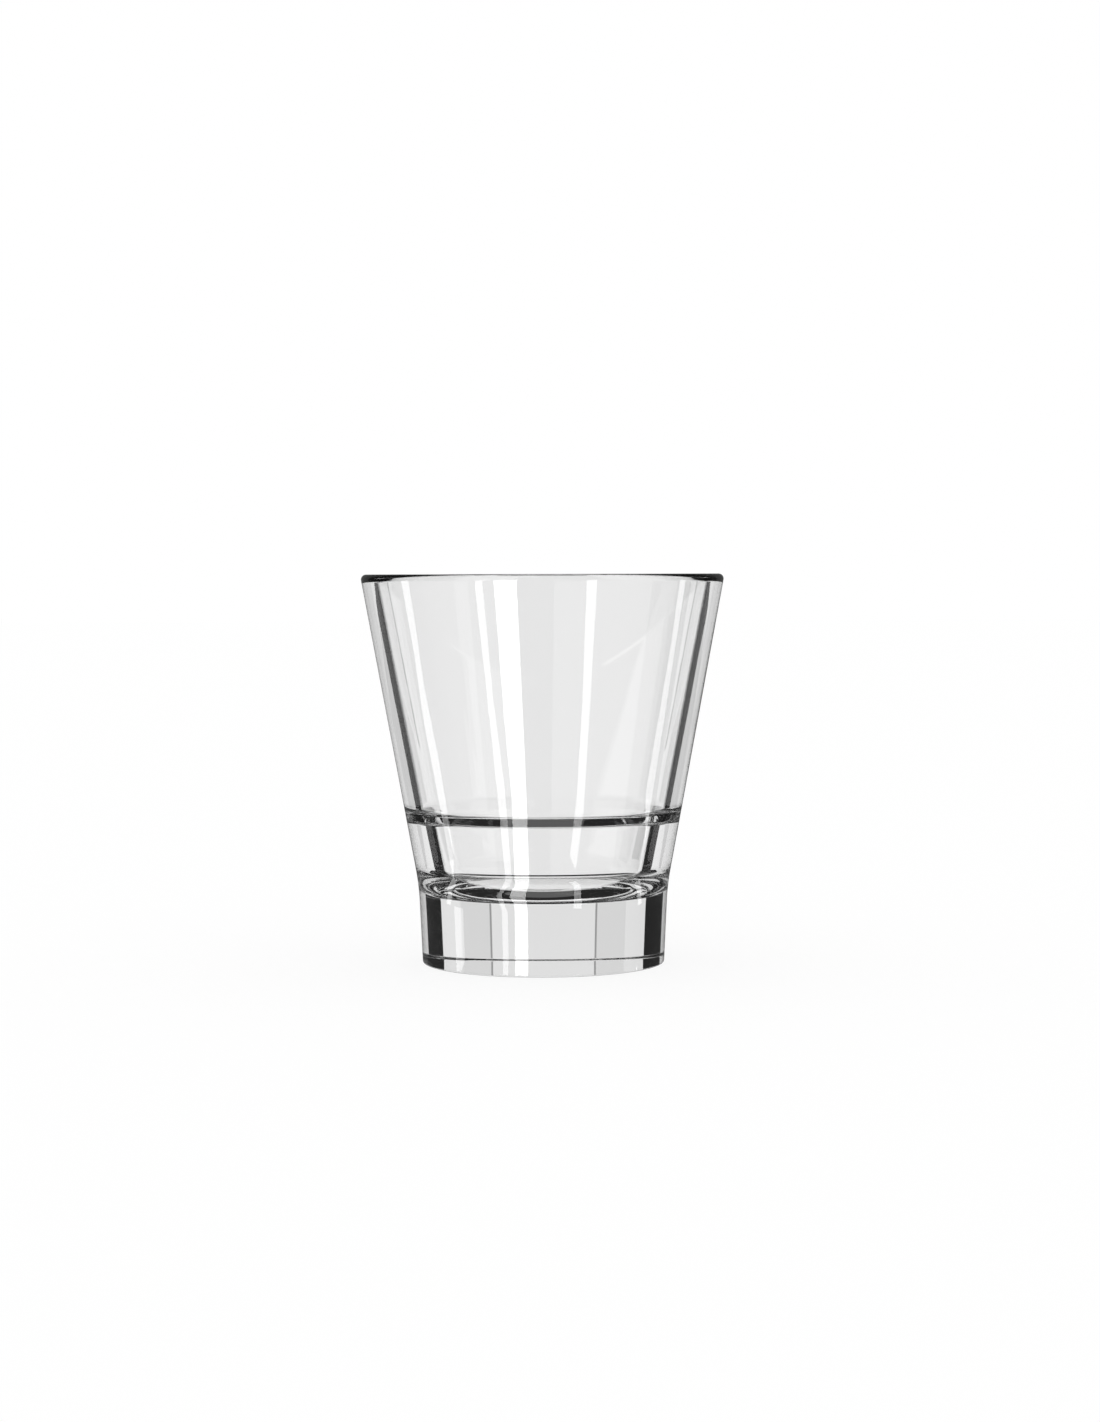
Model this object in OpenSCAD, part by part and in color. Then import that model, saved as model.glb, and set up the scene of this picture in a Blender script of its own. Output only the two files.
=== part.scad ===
// Rocks glass of clear pressed glass: a flared bowl on a narrower foot, with a
// sloping shoulder inside for stacking and a small well over a thick base.
// It stands on the table at the origin, with its axis along +Z.
// The glass is pressed in one piece. Its zones are separate solids here, and
// each meets the next face to face on a level plane.

/* [Rim and bowl] */
// Height of the glass from the table to the top of the rim
height = 92.1; // [86:0.1:100]
// Radius of the bowl's outside, carried straight up to the top of the rim
rim_r = 43.1; // [41:0.1:46]
// Thickness of the bowl's wall at the top of the rim, measured level
wall_t = 3.7; // [3.2:0.1:4.4]
// Radius of the lip's outer edge
lip_out_r = 1.2; // [0.8:0.1:1.6]
// Width of the level land on top of the lip, between its outer and inner edges
lip_land = 0.75; // [0.2:0.05:1.2]
// Height of the band that counts as the rim
rim_h = 5; // [4:0.5:10]

/* [Stacking shoulder] */
// Height of the shoulder's upper edge, where the bowl's inside ends
seat_z = 37; // [35:0.1:40]
// Gap left all round the next glass's foot at the shoulder's upper edge
stack_gap = 0.3; // [0.2:0.1:0.8]
// Drop from the shoulder's upper edge to its lower edge
shoulder_drop = 2.3; // [1.8:0.1:3.2]
// Radius of the hollow bend at the shoulder's upper edge
seat_ease_r = 2.6; // [1:0.1:3.4]
// Radius of the round bend at the shoulder's lower edge
well_ease_r = 1.6; // [0.8:0.1:2.4]

/* [Well and base] */
// Thickness of the well's wall at the shoulder's lower edge, measured level
well_wall_t = 6.3; // [5.8:0.1:7]
// Lean of the well's wall from upright, in degrees
well_lean = 12; // [8:0.5:14]
// Height of the well's flat floor over the table
floor_z = 16.2; // [14:0.1:18]
// Radius of the hollow corner between the well's wall and its floor
floor_ease_r = 9.5; // [6:0.5:11]

/* [Foot] */
// Radius of the foot's outside, carried straight down to the table
foot_r = 28.7; // [27:0.1:30.5]
// Lean of the foot's outside from upright, in degrees
foot_lean = 2.7; // [1.5:0.1:4]
// Height of the foot's solid disc
foot_h = 11; // [8:0.5:12.5]
// Height of the waist, where the foot's slope turns out into the bowl's slope
waist_z = 18.4; // [17:0.1:21]
// Radius of the soft bend at the waist
waist_ease_r = 58; // [35:1:65]
// Radius of the foot's bottom edge
foot_ease_r = 0.5; // [0.4:0.1:2.5]

/* [Hidden] */
$fn = 144;

glass_colour = [0.87, 0.89, 0.89, 0.5];
// Straight wall kept past an eased edge before one zone ends and the next begins
zone_land = 0.4;
// Reach of an easing's blank past the corner that it eases
blank_reach = 1;
// Overrun of an easing's arc, so that it crosses the straights it runs into
arc_overrun = 0.002;

// The bowl's outside runs straight from the waist to the rim
waist_r = foot_r + waist_z * tan(foot_lean);
bowl_lean = atan((rim_r - waist_r) / (height - waist_z));
function bowl_out(z) = rim_r - (height - z) * tan(bowl_lean);

// The lip's inner edge takes what its outer edge and its land leave of the wall
lip_in_r = (wall_t - lip_land - lip_out_r / tan(45 - bowl_lean / 2)) * tan(45 + bowl_lean / 2);

// The bowl's inside narrows down to the shoulder, where the foot of the next glass still passes
seat_r = foot_r + stack_gap;
well_z = seat_z - shoulder_drop;
well_r = bowl_out(well_z) - well_wall_t;
floor_r = well_r - (well_z - floor_z) * tan(well_lean);

// Half outline of the whole glass, from the axis on the table round to the well's floor:
// its corners as [radius, height], and the radius that eases each of them
corners = [
    [0, 0],
    [foot_r, 0],
    [waist_r, waist_z],
    [rim_r, height],
    [rim_r - wall_t, height],
    [seat_r, seat_z],
    [well_r, well_z],
    [floor_r, floor_z],
    [0, floor_z]
];
ease_r = [0, foot_ease_r, waist_ease_r, lip_out_r, lip_in_r, seat_ease_r, well_ease_r, floor_ease_r, 0];
eased = [for (i = [1 : len(corners) - 2]) i];

// Direction from corner i to corner j, and half of the angle between the straights at corner i
function unit(v) = v / norm(v);
function way(i, j) = unit(corners[j] - corners[i]);
function half_angle(i) = acos(way(i, i - 1) * way(i, i + 1)) / 2;
// Centre of the arc that eases corner i, and the point where it runs into the straight to corner j
function ease_centre(i) = corners[i] + unit(way(i, i - 1) + way(i, i + 1)) * ease_r[i] / sin(half_angle(i));
function ease_end(i, j) = corners[i] + way(i, j) * ease_r[i] / tan(half_angle(i));
function is_inside(i) = ease_r[i] > 0 && cross(way(i - 1, i), way(i, i + 1)) < 0;
function pushed(p, from) = p + unit(p - from) * blank_reach;

// Level planes between the zones: corners 5, 6 and 7 are the shoulder's two edges and the floor's edge
floor_top = ease_end(7, 6)[1] + zone_land;
shoulder_low = ease_end(6, 7)[1] - zone_land;
shoulder_top = ease_end(5, 4)[1] + zone_land;
rim_low = height - rim_h;

// What an outside corner loses: a blank over the corner, less the disc of its arc
module easing(i) {
    c = ease_centre(i);
    difference() {
        polygon([c, pushed(ease_end(i, i - 1), c), pushed(corners[i], c), pushed(ease_end(i, i + 1), c)]);
        translate(c) circle(ease_r[i] + arc_overrun);
    }
}

// An inside corner is filled out to the centre of its arc, and the disc of the arc is then taken away
module half_outline() {
    difference() {
        polygon([for (i = [0 : len(corners) - 1]) each is_inside(i)
            ? [ease_end(i, i - 1), ease_centre(i), ease_end(i, i + 1)]
            : [corners[i]]]);
        for (i = eased)
            if (is_inside(i)) translate(ease_centre(i)) circle(ease_r[i] + arc_overrun);
            else easing(i);
    }
}

// One zone of the glass, turned from the stretch of the outline between two heights
module zone(low, high) {
    color(glass_colour) rotate_extrude() intersection() {
        half_outline();
        translate([0, low]) square([rim_r, high - low]);
    }
}

// Rounded lip and the top of the bowl
module rim() { zone(rim_low, height); }

// Conical wall from the shoulder to the rim, a little thicker towards the shoulder
module bowl_wall() { zone(shoulder_top, rim_low); }

// Sloping ledge that the foot of the next glass rests on
module stacking_shoulder() { zone(shoulder_low, shoulder_top); }

// Thicker wall round the well, below the shoulder
module well_wall() { zone(floor_top, shoulder_low); }

// Dished floor of the well, with the waist outside it
module well_floor() { zone(foot_h, floor_top); }

// Solid disc that stands on the table
module foot() { zone(0, foot_h); }

rim();
bowl_wall();
stacking_shoulder();
well_wall();
well_floor();
foot();
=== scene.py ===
import math

import bpy
from mathutils import Euler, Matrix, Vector


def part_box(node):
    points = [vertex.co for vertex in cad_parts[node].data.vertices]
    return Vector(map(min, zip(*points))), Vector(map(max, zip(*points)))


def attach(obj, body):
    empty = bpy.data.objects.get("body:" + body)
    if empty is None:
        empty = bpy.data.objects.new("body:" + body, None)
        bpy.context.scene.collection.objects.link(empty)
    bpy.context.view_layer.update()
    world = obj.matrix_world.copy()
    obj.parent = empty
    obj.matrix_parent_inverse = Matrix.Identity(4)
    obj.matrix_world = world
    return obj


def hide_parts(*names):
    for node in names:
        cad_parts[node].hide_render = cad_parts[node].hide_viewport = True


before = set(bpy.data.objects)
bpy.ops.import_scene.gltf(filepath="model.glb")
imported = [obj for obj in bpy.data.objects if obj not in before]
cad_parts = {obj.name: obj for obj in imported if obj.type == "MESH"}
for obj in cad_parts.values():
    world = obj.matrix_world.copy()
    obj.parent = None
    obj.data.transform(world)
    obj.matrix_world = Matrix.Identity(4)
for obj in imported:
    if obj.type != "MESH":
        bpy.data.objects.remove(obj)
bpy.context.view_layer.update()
scene = bpy.context.scene

# Glass
# A stacking rocks glass of clear soda-lime glass, pressed in one piece. A plunger forms the flared
# bowl, the sloping shoulder that the next glass rests on, and the small well over the thick base.
# A flame then rounds the lip and smooths the whole surface, which stays very slightly wavy.
MM = 0.001
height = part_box("rim")[1].z / MM
rim_r = 43.1
wall_t = 3.7
lip_out_r = 1.2
lip_land = 0.75
seat_z = 37.0
stack_gap = 0.3
shoulder_drop = 2.3
seat_ease_r = 2.6
well_ease_r = 1.6
well_wall_t = 6.3
well_lean = math.radians(12)
floor_z = 16.2
floor_ease_r = 9.5
foot_r = 28.7
foot_lean = math.radians(2.7)
waist_z = 18.4
waist_ease_r = 58.0
foot_ease_r = 0.5
turn_steps = 360
arc_steps = 16
glass_ior = 1.52
glass_tint = (0.95, 0.95, 0.95, 1)
tint_depth = 60
polish_grain = 90
roughest = 0.03
wave_grain = 45
wave_height = 0.00002
light_turns = 24

waist_r = foot_r + waist_z * math.tan(foot_lean)
bowl_lean = math.atan((rim_r - waist_r) / (height - waist_z))
lip_room = wall_t - lip_land - lip_out_r / math.tan((math.pi / 2 - bowl_lean) / 2)
lip_in_r = lip_room * math.tan((math.pi / 2 + bowl_lean) / 2)
well_z = seat_z - shoulder_drop
well_r = rim_r - (height - well_z) * math.tan(bowl_lean) - well_wall_t
floor_r = well_r - (well_z - floor_z) * math.tan(well_lean)


def eased_outline(corners):
    """Points and outward normals along a half outline whose corners are (radius, height, easing)."""
    points = [Vector(corners[0][:2])]
    normals = [Vector((0, -1))]
    for before, corner, after in zip(corners, corners[1:], corners[2:]):
        here = Vector(corner[:2])
        ease = corner[2]
        back = (Vector(before[:2]) - here).normalized()
        on = (Vector(after[:2]) - here).normalized()
        half = back.angle(on) / 2
        middle = (back + on).normalized()
        centre = here + middle * ease / math.sin(half)
        outside = back.x * on.y - back.y * on.x < 0
        sweep = math.pi - 2 * half
        for k in range(arc_steps + 1):
            turn = sweep * (k / arc_steps - 0.5)
            turn = turn if outside else -turn
            spoke = Vector((-middle.x * math.cos(turn) + middle.y * math.sin(turn),
                            -middle.x * math.sin(turn) - middle.y * math.cos(turn)))
            points.append(centre + spoke * ease)
            normals.append(spoke if outside else -spoke)
    points.append(Vector(corners[-1][:2]))
    normals.append(Vector((0, 1)))
    return points, normals


def turned_mesh(name, points, normals):
    """A closed mesh turned about the axis from an outline that starts and ends on it."""
    verts = []
    aims = []
    rings = []
    for p, n in zip(points, normals):
        count = turn_steps if p.x > 0 else 1
        rings.append(range(len(verts), len(verts) + count))
        for k in range(count):
            a = 2 * math.pi * k / turn_steps
            verts.append((p.x * math.cos(a) * MM, p.x * math.sin(a) * MM, p.y * MM))
            aims.append((n.x * math.cos(a), n.x * math.sin(a), n.y))
    faces = []
    for low, high in zip(rings, rings[1:]):
        for k in range(turn_steps):
            j = (k + 1) % turn_steps
            if len(low) == 1:
                faces.append((low[0], high[j], high[k]))
            elif len(high) == 1:
                faces.append((low[k], low[j], high[0]))
            else:
                faces.append((low[k], low[j], high[j], high[k]))
    mesh = bpy.data.meshes.new(name)
    mesh.from_pydata(verts, [], faces)
    mesh.shade_smooth()
    mesh.normals_split_custom_set_from_vertices(aims)
    return mesh


outline = eased_outline([
    (0, 0, 0),
    (foot_r, 0, foot_ease_r),
    (waist_r, waist_z, waist_ease_r),
    (rim_r, height, lip_out_r),
    (rim_r - wall_t, height, lip_in_r),
    (foot_r + stack_gap, seat_z, seat_ease_r),
    (well_r, well_z, well_ease_r),
    (floor_r, floor_z, floor_ease_r),
    (0, floor_z, 0),
])
glass = bpy.data.objects.new("rocks_glass", turned_mesh("rocks_glass", *outline))
scene.collection.objects.link(glass)

clear = bpy.data.materials.new("clear_glass")
clear.use_nodes = True
nodes = clear.node_tree.nodes
links = clear.node_tree.links
shader = nodes["Principled BSDF"]
shader.inputs["Base Color"].default_value = (1, 1, 1, 1)
shader.inputs["IOR"].default_value = glass_ior
shader.inputs["Transmission Weight"].default_value = 1.0
place = nodes.new("ShaderNodeTexCoord")
polish = nodes.new("ShaderNodeTexNoise")
polish.inputs["Scale"].default_value = polish_grain
polish.inputs["Detail"].default_value = 4
links.new(place.outputs["Object"], polish.inputs["Vector"])
gloss = nodes.new("ShaderNodeMapRange")
gloss.inputs["To Min"].default_value = 0.0
gloss.inputs["To Max"].default_value = roughest
links.new(polish.outputs["Fac"], gloss.inputs["Value"])
links.new(gloss.outputs["Result"], shader.inputs["Roughness"])
waves = nodes.new("ShaderNodeTexNoise")
waves.inputs["Scale"].default_value = wave_grain
waves.inputs["Detail"].default_value = 1
links.new(place.outputs["Object"], waves.inputs["Vector"])
ripple = nodes.new("ShaderNodeBump")
ripple.inputs["Strength"].default_value = 1.0
ripple.inputs["Distance"].default_value = wave_height
links.new(waves.outputs["Fac"], ripple.inputs["Height"])
links.new(ripple.outputs["Normal"], shader.inputs["Normal"])
absorb = nodes.new("ShaderNodeVolumeAbsorption")
absorb.inputs["Color"].default_value = glass_tint
absorb.inputs["Density"].default_value = tint_depth
links.new(absorb.outputs["Volume"], nodes["Material Output"].inputs["Volume"])
glass.data.materials.append(clear)
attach(glass, "root")
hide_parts("rim", "bowl_wall", "stacking_shoulder", "well_wall", "well_floor", "foot")
# Light runs round inside the thick base many times before it leaves.
scene.cycles.max_bounces = light_turns
scene.cycles.transmission_bounces = light_turns
scene.cycles.glossy_bounces = light_turns

# Table
# A wide sheet of matt white card under the glass. Most of its light is its own glow, so that it runs
# into the white background, and the glass still leaves a faint shadow on it. It isn't seen through
# the glass or mirrored in it.
floor_half = 5.0
card_white = (0.98, 0.98, 0.98, 1)
glow_share = 0.85
floor_mesh = bpy.data.meshes.new("table")
floor_mesh.from_pydata([(-floor_half, -floor_half, 0), (floor_half, -floor_half, 0),
                        (floor_half, floor_half, 0), (-floor_half, floor_half, 0)], [], [(0, 1, 2, 3)])
table = bpy.data.objects.new("table", floor_mesh)
scene.collection.objects.link(table)
card = bpy.data.materials.new("white_card")
card.use_nodes = True
nodes = card.node_tree.nodes
links = card.node_tree.links
matt = nodes["Principled BSDF"]
matt.inputs["Base Color"].default_value = card_white
matt.inputs["Roughness"].default_value = 1.0
matt.inputs["Specular IOR Level"].default_value = 0.0
glow = nodes.new("ShaderNodeEmission")
share = nodes.new("ShaderNodeMixShader")
share.inputs["Fac"].default_value = glow_share
links.new(matt.outputs["BSDF"], share.inputs[1])
links.new(glow.outputs["Emission"], share.inputs[2])
links.new(share.outputs["Shader"], nodes["Material Output"].inputs["Surface"])
floor_mesh.materials.append(card)
table.visible_transmission = False
table.visible_glossy = False

# White surround
# The background is an even white, which shows through the glass. What the surface mirrors is the
# dim room instead, so that the softboxes stand out on it.
white = 1.0
white_through = 0.95
dim_room = 0.05
world = bpy.data.worlds.new("white_surround")
scene.world = world
world.use_nodes = True
nodes = world.node_tree.nodes
links = world.node_tree.links
path = nodes.new("ShaderNodeLightPath")
mirrored = nodes.new("ShaderNodeMix")
mirrored.data_type = "RGBA"
mirrored.inputs[6].default_value = (white, white, white, 1)
mirrored.inputs[7].default_value = (dim_room, dim_room, dim_room, 1)
links.new(path.outputs["Is Glossy Ray"], mirrored.inputs[0])
through = nodes.new("ShaderNodeMix")
through.data_type = "RGBA"
through.inputs[7].default_value = (white_through, white_through, white_through, 1)
links.new(path.outputs["Is Transmission Ray"], through.inputs[0])
links.new(mirrored.outputs[2], through.inputs[6])
links.new(through.outputs[2], nodes["Background"].inputs["Color"])

# Black cards, grey boards and painted shadow
# Sheets of card stand far round the glass, out of the camera's sight, and draw the dark lines along its
# walls, shoulder and base. Most of them show only where the glass mirrors them inside itself, so that
# it stays clear to look straight through. The dark sheets straight below and low round the glass are
# painted shadow instead: they take the place of the table under and just round the foot, which the
# glass doesn't see, darkened as if the glass shaded it.
stand_off = 10.0
card_step = 3.0
nearer = 0.99
black = 0.02
dark_grey = 0.12
grey = 0.4
light_grey = 0.7
pale_grey = 0.85


def sheet_material(name, brightness):
    """A plain paint that glows evenly."""
    paint = bpy.data.materials.new(name)
    paint.use_nodes = True
    paint.node_tree.nodes.clear()
    lit = paint.node_tree.nodes.new("ShaderNodeEmission")
    lit.inputs["Strength"].default_value = brightness
    end = paint.node_tree.nodes.new("ShaderNodeOutputMaterial")
    paint.node_tree.links.new(lit.outputs["Emission"], end.inputs["Surface"])
    return paint


def hang(name, verts, faces, brightness):
    """A plain sheet that neither the camera nor the table sees."""
    mesh = bpy.data.meshes.new(name)
    mesh.from_pydata(verts, [], faces)
    mesh.materials.append(sheet_material(name, brightness))
    sheet = bpy.data.objects.new(name, mesh)
    scene.collection.objects.link(sheet)
    sheet.visible_camera = False
    sheet.visible_diffuse = False
    sheet.visible_shadow = False
    sheet.visible_volume_scatter = False
    return sheet


def curved_sheet(name, brightness, *edges):
    """A sheet on a large sphere round the glass. Each of its edges, from the lowest up, is given as
    (elevation, left azimuth, right azimuth) in degrees, with azimuth counted from +Y towards +X."""
    lines = [edges[0]]
    for low, high in zip(edges, edges[1:]):
        count = math.ceil((high[0] - low[0]) / card_step)
        for k in range(1, count + 1):
            lines.append([p + (q - p) * k / count for p, q in zip(low, high)])
    across = max(math.ceil((right - left) / card_step) for el, left, right in edges)
    verts = []
    for el, left, right in lines:
        e = math.radians(el)
        for i in range(across + 1):
            a = math.radians(left + (right - left) * i / across)
            aim = Vector((math.sin(a) * math.cos(e), math.cos(a) * math.cos(e), math.sin(e)))
            verts.append(aim * stand_off + Vector((0, 0, height / 2 * MM)))
    row = across + 1
    faces = [(j * row + i, j * row + i + 1, (j + 1) * row + i + 1, (j + 1) * row + i)
             for j in range(len(lines) - 1) for i in range(across)]
    return hang(name, verts, faces, brightness)


def only_mirrored(sheet):
    """Hide a sheet from light that the glass has bent and not mirrored."""
    paint = sheet.data.materials[0].node_tree
    path = paint.nodes.new("ShaderNodeLightPath")
    unseen = paint.nodes.new("ShaderNodeBsdfTransparent")
    choice = paint.nodes.new("ShaderNodeMixShader")
    paint.links.new(path.outputs["Glossy Depth"], choice.inputs["Fac"])
    paint.links.new(unseen.outputs["BSDF"], choice.inputs[1])
    paint.links.new(paint.nodes["Emission"].outputs["Emission"], choice.inputs[2])
    paint.links.new(choice.outputs["Shader"], paint.nodes["Material Output"].inputs["Surface"])


mirrored_cards = (
    # These three are painted shadow: the table under and just round the foot, darkened as if the glass
    # shaded it.
    curved_sheet("painted_shadow_straight_down", dark_grey, (-90, -180, 180), (-65, -180, 180)),
    curved_sheet("painted_shadow_round_foot", black, (-65, -180, 180), (-36.5, -180, 180)),
    curved_sheet("painted_shadow_round_foot_edge", black, (-36.5, 12, 348), (-33, 12, 348)),
    curved_sheet("card_behind_right", black, (-33, 14, 60), (-24, 14, 60), (-17, 30, 56)),
    curved_sheet("card_behind_left", black, (-33, -60, -14), (-24, -60, -14), (-17, -56, -30)),
    curved_sheet("card_overhead", black, (38, -180, 180), (90, -180, 180)),
    curved_sheet("card_above_right", black, (14, 30, 114), (38, 30, 114)),
    curved_sheet("card_above_front", black, (14, 156, 288), (38, 156, 288)),
    curved_sheet("card_far_right", black, (-33, 63, 100), (-0.1, 63, 100), (0, 63, 110), (14, 63, 110)),
    curved_sheet("card_front", black, (-33, 172, 232), (-3.1, 172, 232), (-3, 158, 232), (14, 158, 232)),
)
# These are seen straight through the glass too. They stand a little nearer, in front of the mirrored
# ones that they overlap.
seen_sheets = (
    # Painted shadow: the table just behind the foot, darkened as if the glass shaded it.
    curved_sheet("painted_shadow_behind_foot", black, (-48, -7, 7), (-36.5, -7, 7)),
    curved_sheet("card_right", black, (-6.5, 43.5, 63), (14, 43.5, 63)),
    curved_sheet("card_right_low", black, (-21, 45, 56), (-6.5, 33, 43.5)),
    curved_sheet("card_left", black, (-6.5, -68, -43.5), (14, -68, -43.5)),
    curved_sheet("card_left_low", black, (-17.3, -54, -41), (-6.5, -43.5, -33)),
    curved_sheet("board_right", pale_grey, (-6.2, 17.3, 30), (14, 17.3, 30)),
    curved_sheet("board_left", pale_grey, (-6.2, -30, -17.3), (14, -30, -17.3)),
    curved_sheet("board_right_low", light_grey, (-13, 20, 38.4), (-6.5, 20, 33)),
    curved_sheet("board_left_low", light_grey, (-13, -37.9, -20), (-6.5, -33, -20)),
    curved_sheet("board_edge_right", grey, (-6.2, 16.6, 17.3), (14, 16.6, 17.3)),
    curved_sheet("board_edge_left", grey, (-6.2, -17.3, -16.6), (14, -17.3, -16.6)),
)
for sheet in mirrored_cards:
    only_mirrored(sheet)
for sheet in seen_sheets:
    sheet.scale = (nearer, nearer, nearer)
for sheet in mirrored_cards + seen_sheets:
    sheet.visible_glossy = False

# Softboxes
# Narrow light boxes stand beside the camera and beside the glass, with a dim grey backdrop behind it.
# Only their reflections show, as the upright white streaks on the bowl and the foot.
main_light = 8
edge_light = 4.5
side_light = 3.5
top_light = 3
for box in (
    curved_sheet("backdrop", dark_grey, (-60, -36, 36), (45, -36, 36)),
    curved_sheet("softbox_main", main_light, (-27, -167, -153), (-24.6, -166, -153.9),
                 (-22.8, -164.8, -150.9), (-19.5, -163, -148.4), (-17, -165, -153), (-10.5, -166, -153.5)),
    curved_sheet("softbox_main_edge", edge_light, (-26.5, -151, -145), (-24, -148, -142),
                 (-22, -143.3, -139.3), (-19.3, -141, -136), (-16, -144, -139), (-13, -147, -141.5),
                 (-11, -147, -141.5)),
    curved_sheet("softbox_right", edge_light, (-26, 150, 156), (-24.5, 145.5, 152), (-22.5, 145, 151),
                 (-14.5, 144, 152.4)),
    curved_sheet("softbox_far_right", side_light, (-18.5, 79.5, 87), (-14.8, 77.3, 82), (-11.5, 76, 81.5)),
    curved_sheet("softbox_far_left", side_light, (-20.5, -93, -88), (-18.5, -91, -84.5), (-16, -86, -80),
                 (-14.5, -86, -80.5), (-12, -84.5, -78)),
    curved_sheet("softbox_far_left_top", top_light, (-12, -100, -89), (-10, -100, -89)),
):
    box.visible_transmission = False

# Camera
# The photograph was taken level with the rim and about seven glass heights away. These sizes were
# fitted to the outline of the glass.
photo_w = 1100
photo_h = 1422
focal_px = 2873
horizon_y = 574
axis_x = 542.3
camera_away = 0.681
camera_roll = math.radians(0.18)
sensor = 36.0
lens = bpy.data.cameras.new("camera")
lens.sensor_fit = "VERTICAL"
lens.sensor_height = sensor
lens.lens = focal_px * sensor / photo_h
camera = bpy.data.objects.new("camera", lens)
scene.collection.objects.link(camera)
camera.location = (0, -camera_away, height * MM)
pitch = math.atan((photo_h / 2 - horizon_y) / focal_px)
yaw = -math.atan((photo_w / 2 - axis_x) / focal_px)
camera.rotation_euler = Euler((math.pi / 2 - pitch, camera_roll, yaw))
scene.camera = camera
scene.view_settings.view_transform = "Standard"
